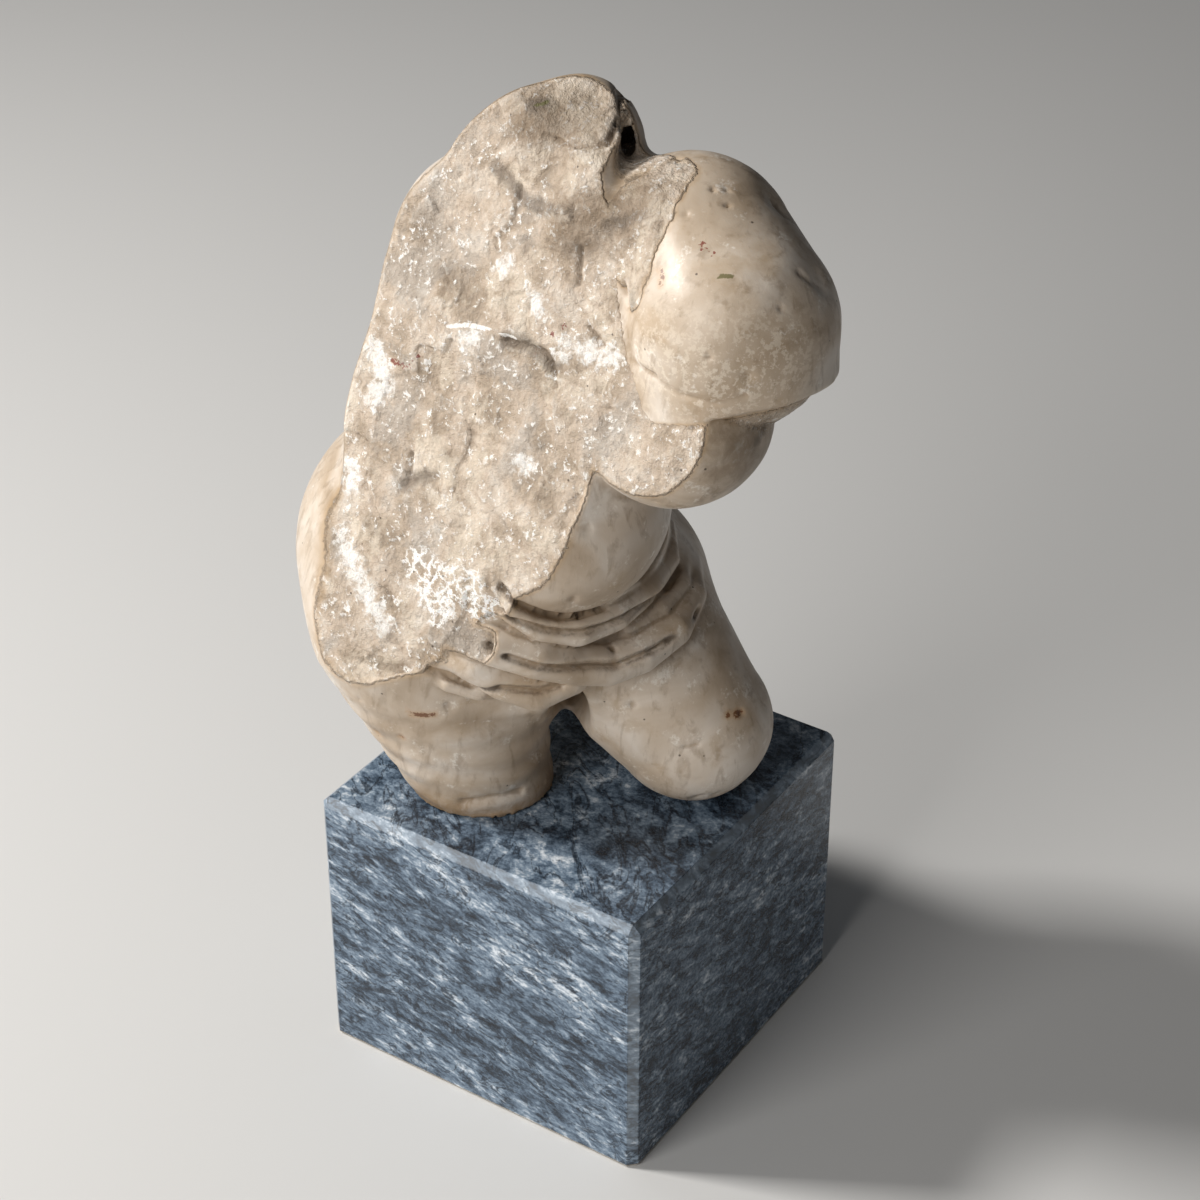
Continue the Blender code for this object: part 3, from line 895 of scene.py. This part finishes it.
colour = add_node(tree, "Mix", {"data_type": "RGBA"}, {0: on_break, 6: skin, 7: fracture}).outputs[2]
# painted glow: light shining through the thin stone at the break's edge, as a honey-coloured band
colour = lay(tree, colour, "#b3936a", both(tree, glow_band_skin, glow_band_break), 0.4)
# The patina also carries painted shade under the breast, the crease colour is painted shade in the deepest
# grooves, the foot colour is an amber stain with painted shade that darkens towards the seat, and the grime
# also carries painted shade under the arm and beside the shoulder.
for name, noise, spread, low, high, code, strength in (
    ("patina", "dust", 1.2, 0.2, 1.1, "#7d6a54", 0.75), ("crease", "sugar", 0.5, 0.3, 0.9, "#40301f", 0.85),
    ("foot", "dust", 1.0, 0.3, 1.0, "#946f3f", 0.75), ("grime", "dust", 1.0, 0.3, 0.95, "#5a4f43", 0.6),
    ("white", "crumbs", 2.2, 0.55, 1.05, "#f5f2ed", 0.85),
    ("scratch", "sugar", 0.5, 0.35, 0.55, "#fbf8f3", 0.9),
    ("lichen", "sugar", 0.9, 0.45, 0.7, "#5f5c2a", 0.8), ("ochre", "sugar", 2.4, 0.6, 0.75, "#7d2b1c", 0.85),
    ("rust", "crumbs", 1.4, 0.1, 0.9, "#b98a55", 0.4),
    ("rust", "crumbs", 2.2, 0.75, 0.95, "#6b3a14", 0.85),
):
    colour = lay(tree, colour, code, cut(tree, marks[name], noises[noise], spread, low, high), strength)

# the old crust is a net of pale lines, on coordinates that wander by up to a few millimetres
wander = add_node(tree, "TexNoise", {"Scale": 1 / 5, "Detail": 4, "Roughness": 0.7},
                  {"Vector": in_mm}).outputs["Color"]
wandering = add_node(tree, "VectorMath", {"operation": "MULTIPLY_ADD", 1: (9, 9, 9)},
                     {0: wander, 2: in_mm}).outputs[0]
lines = add_node(tree, "TexVoronoi", {"feature": "DISTANCE_TO_EDGE", "Scale": 1 / 4.6},
                 {"Vector": wandering}).outputs[0]
crust = both(tree, cut(tree, lines, noises["crumbs"], 0.7, 0.16, 0.04),
             cut(tree, marks["crust"], noises["crumbs"], 1.2, 0.4, 0.6))
colour = lay(tree, colour, "#faf8f4", crust, 0.95)

# dark specks about half a millimetre across, in about a quarter of the cells
specks = add_node(tree, "TexVoronoi", {"Scale": 1 / 5.5}, {"Vector": in_mm})
chosen = add_node(tree, "SeparateColor", {}, {0: specks.outputs["Color"]}).outputs[0]
dots = both(tree, add_node(tree, "MapRange", {"From Min": 0.085, "From Max": 0.055},
                           {"Value": specks.outputs["Distance"]}).outputs[0],
            add_node(tree, "Math", {"operation": "GREATER_THAN", 1: 0.72}, {0: chosen}).outputs[0])
colour = lay(tree, colour, "#3d2f22", dots, 0.8)
tree.links.new(colour, shader.inputs["Base Color"])

# %% Gloss, fine grain and depth of light
skin_gloss = add_node(tree, "MapRange", {"From Min": 0.3, "From Max": 0.7, "To Min": 0.36, "To Max": 0.5},
                      {"Value": noises["blotches"]}).outputs[0]
break_gloss = add_node(tree, "MapRange", {"From Min": 0.35, "From Max": 0.65, "To Min": 0.8, "To Max": 0.42},
                       {"Value": noises["sugar"]}).outputs[0]
gloss = add_node(tree, "Mix", {}, {0: on_break, 2: skin_gloss, 3: break_gloss}).outputs[0]
tree.links.new(gloss, shader.inputs["Roughness"])

skin_grain = add_node(tree, "Math", {"operation": "MULTIPLY", 1: 0.12}, {0: noises["streaks"]}).outputs[0]
crumb_grain = add_node(tree, "Math", {"operation": "MULTIPLY", 1: 1.05}, {0: noises["crumbs"]}).outputs[0]
break_grain = add_node(tree, "Math", {"operation": "MULTIPLY_ADD", 1: 0.45},
                       {0: noises["sugar"], 2: crumb_grain}).outputs[0]
# real grains are under 1 mm: these are drawn coarser, so that they show at this size
crystals = add_node(tree, "TexVoronoi", {"Scale": 1 / 3.4}, {"Vector": wandering}).outputs["Distance"]
break_grain = add_node(tree, "Math", {"operation": "MULTIPLY_ADD", 1: 0.45},
                       {0: crystals, 2: break_grain}).outputs[0]
grain = add_node(tree, "Mix", {}, {0: on_break, 2: skin_grain, 3: break_grain}).outputs[0]
bump = add_node(tree, "Bump", {"Strength": 1.0, "Distance": MM}, {"Height": grain}).outputs[0]
tree.links.new(bump, shader.inputs["Normal"])

MARBLE_IOR = 1.5
for name, value in (("IOR", MARBLE_IOR), ("Metallic", 0.0), ("Subsurface Weight", 0.1),
                    ("Subsurface Radius", (1.0, 0.78, 0.6)), ("Subsurface Scale", 2.5 * MM)):
    shader.inputs[name].default_value = value
mesh.materials.append(marble)
print("figure's material:", len(tree.nodes), "nodes")

# %% [markdown]
# ## Veined grey marble
#
# The block is a blue-grey marble with fine layers. The layers are nearly level, dip to the right, and are
# drawn out into streaks on the sides. The top cuts them at a shallow angle, so there they open into cloudy
# patches with dark lines. It was sawn, ground and polished, and its chamfers are paler and duller, as
# their crystals are bruised. The pattern is made in a frame that lies in the layers, stretched along them.

# %% The layers' frame
LAYER_SLOPE = math.radians(14)
LAYER_TILT = math.radians(-10)
plinth_low, plinth_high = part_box("plinth")
plinth_middle = (plinth_low + plinth_high) / 2
half = (plinth_high - plinth_low) / 2

veined, tree, shader = new_stone("polished_veined_grey_marble")
coords = add_node(tree, "TexCoord").outputs["Object"]


def layer_frame(along, across, through, turned=0.0):
    """Coordinates whose unit is the given number of mm along, across and through the layers."""
    return add_node(tree, "Mapping", {"vector_type": "TEXTURE", "Location": plinth_middle,
                                      "Rotation": (LAYER_TILT, LAYER_SLOPE, turned),
                                      "Scale": (along * MM, across * MM, through * MM)},
                    {"Vector": coords}).outputs[0]


VEIN_TURN = math.radians(33)
wisps, bands, veins, grit = [
    add_node(tree, "TexNoise", {"Scale": 1.0, "Detail": detail, "Roughness": roughness,
                                "Distortion": distortion}, {"Vector": layer_frame(*lengths)}).outputs[0]
    for detail, roughness, distortion, lengths in (
        (7, 0.62, 0.5, (9, 7, 2.8)), (3, 0.5, 0.6, (90, 60, 13)),
        (5, 0.6, 1.2, (13, 55, 7, VEIN_TURN)), (5, 0.75, 0.0, (2.2, 1.8, 1.2)))
]

# %% The block's colours
tone = add_node(tree, "Math", {"operation": "MULTIPLY_ADD", 1: 0.55}, {0: bands, 2: wisps}).outputs[0]
tone = add_node(tree, "Math", {"operation": "MULTIPLY_ADD", 1: 0.6}, {0: grit, 2: tone}).outputs[0]
tone = add_node(tree, "MapRange", {"From Min": 0.79, "From Max": 1.36}, {"Value": tone}).outputs[0]
colour = add_node(tree, "ValToRGB", {"stops": ((0.05, "#171d26"), (0.3, "#384655"), (0.5, "#5c6d7f"),
                                               (0.7, "#8293a4"), (0.95, "#d8dfe6"))}, {0: tone}).outputs[0]
from_middle = add_node(tree, "Math", {"operation": "SUBTRACT", 1: 0.5}, {0: veins}).outputs[0]
vein_width = add_node(tree, "Math", {"operation": "ABSOLUTE"}, {0: from_middle}).outputs[0]
vein = add_node(tree, "MapRange", {"From Min": 0.03, "From Max": 0.008}, {"Value": vein_width}).outputs[0]
vein = both(tree, vein, cut(tree, wisps, grit, 0.4, 0.72, 0.5))
colour = lay(tree, colour, "#1a2029", vein, 0.8)

# a point is on a chamfer where it is near the block's edge along two axes at once
CHAMFER = 2.8 * MM
apart = add_node(tree, "SeparateXYZ", {}, {0: coords}).outputs
overs = []
for axis in range(3):
    centred = add_node(tree, "Math", {"operation": "SUBTRACT", 1: plinth_middle[axis]},
                       {0: apart[axis]}).outputs[0]
    size = add_node(tree, "Math", {"operation": "ABSOLUTE"}, {0: centred}).outputs[0]
    overs.append(add_node(tree, "Math", {"operation": "SUBTRACT", 1: half[axis] - CHAMFER},
                          {0: size}).outputs[0])
pairs = [add_node(tree, "Math", {"operation": "MINIMUM"}, {0: overs[a], 1: overs[b]}).outputs[0]
         for a, b in ((0, 1), (1, 2), (0, 2))]
edge = add_node(tree, "Math", {"operation": "MAXIMUM"}, {0: pairs[0], 1: pairs[1]}).outputs[0]
edge = add_node(tree, "Math", {"operation": "MAXIMUM"}, {0: edge, 1: pairs[2]}).outputs[0]
edge_mm = add_node(tree, "Math", {"operation": "MULTIPLY", 1: 1 / MM}, {0: edge}).outputs[0]
bruised = cut(tree, edge_mm, grit, 1.2, -0.15, 0.35)
above = add_node(tree, "MapRange", {"From Min": 6 * MM, "From Max": 12 * MM}, {"Value": apart[2]}).outputs[0]
bruised = both(tree, bruised, above)
colour = lay(tree, colour, "#b9c1c8", bruised, 0.22)
foot = add_node(tree, "MapRange", {"From Min": 1.6 * MM, "From Max": 0.7 * MM},
                {"Value": apart[2]}).outputs[0]
colour = lay(tree, colour, "#b7ab98", cut(tree, foot, grit, 0.8, 0.35, 0.8), 0.7)
tree.links.new(colour, shader.inputs["Base Color"])

polish = add_node(tree, "MapRange", {"From Min": 0.3, "From Max": 0.7, "To Min": 0.2, "To Max": 0.34},
                  {"Value": grit}).outputs[0]
dull = add_node(tree, "Math", {"operation": "MULTIPLY_ADD", 1: 0.25}, {0: bruised, 2: polish}).outputs[0]
tree.links.new(dull, shader.inputs["Roughness"])
bump = add_node(tree, "Bump", {"Strength": 0.5, "Distance": 0.08 * MM}, {"Height": grit}).outputs[0]
tree.links.new(bump, shader.inputs["Normal"])
shader.inputs["IOR"].default_value = MARBLE_IOR
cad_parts["plinth"].data.materials[0] = veined
print("block's material:", len(tree.nodes), "nodes")

# %% [markdown]
# ## The stage
#
# A pale, plain floor, a key lamp from the upper left, where the highlight on the shoulder says that the
# light came from, a large soft lamp in front, which opens the shadows, and weak light from all round.
# The camera stands where the photograph was taken: it was worked out from the block's straight edges.

# %% Floor
bpy.ops.mesh.primitive_plane_add(size=6)
floor = bpy.context.object
floor.name = "floor"
floor_paint, tree, shader = new_stone("pale_floor")
shader.inputs["Base Color"].default_value = linear("#d9d8d6")
shader.inputs["Roughness"].default_value = 0.8
floor.data.materials.append(floor_paint)
floor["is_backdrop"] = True


# %% Lamps
OBJECT_MIDDLE = Vector((0, 0, 0.17))


def add_lamp(name, towards, distance, size, power, code="#fffdfa"):
    """A square lamp at a distance along a direction from the object's middle, which it faces."""
    lamp = bpy.data.lights.new(name, "AREA")
    lamp.size, lamp.energy, lamp.color = size, power, linear(code)[:3]
    holder = bpy.data.objects.new(name, lamp)
    bpy.context.scene.collection.objects.link(holder)
    way = Vector(towards).normalized()
    holder.location = OBJECT_MIDDLE + way * distance
    holder.rotation_euler = way.to_track_quat("Z", "Y").to_euler()


add_lamp("key", (-0.68, -0.35, 0.64), 1.5, 0.25, 21)
add_lamp("front", (-0.12, -0.88, 0.4), 2.0, 1.2, 24)
world = bpy.data.worlds.new("studio")
bpy.context.scene.world = world
world.use_nodes = True
background = world.node_tree.nodes["Background"].inputs
background["Color"].default_value = linear("#e8ebf0")
background["Strength"].default_value = 0.08
bpy.context.scene.view_settings.view_transform = "Standard"

# %% Camera
AZIMUTH, ELEVATION = math.radians(33.44), math.radians(33.36)
DISTANCE = 1.0025
TARGET = (0.00584, 0.14015)

back_way = Vector((math.sin(AZIMUTH) * math.cos(ELEVATION), -math.cos(AZIMUTH) * math.cos(ELEVATION),
                   math.sin(ELEVATION)))
right_way = Vector((math.cos(AZIMUTH), math.sin(AZIMUTH), 0))
up_way = back_way.cross(right_way)
lens = bpy.data.cameras.new("camera")
camera = bpy.data.objects.new("camera", lens)
bpy.context.scene.collection.objects.link(camera)
camera.location = right_way * TARGET[0] + up_way * TARGET[1] + back_way * DISTANCE
camera.rotation_euler = Matrix((right_way, up_way, back_way)).transposed().to_euler()
lens.sensor_width, lens.lens = 36, 84.45
lens.clip_start, lens.clip_end = 0.01, 20
bpy.context.scene.camera = camera
print("camera at", [round(x, 4) for x in camera.location])

# %% Measure, and finish
low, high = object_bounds()
print("visual box, mm:", [round(1000 * (b - a), 1) for a, b in zip(low, high)])
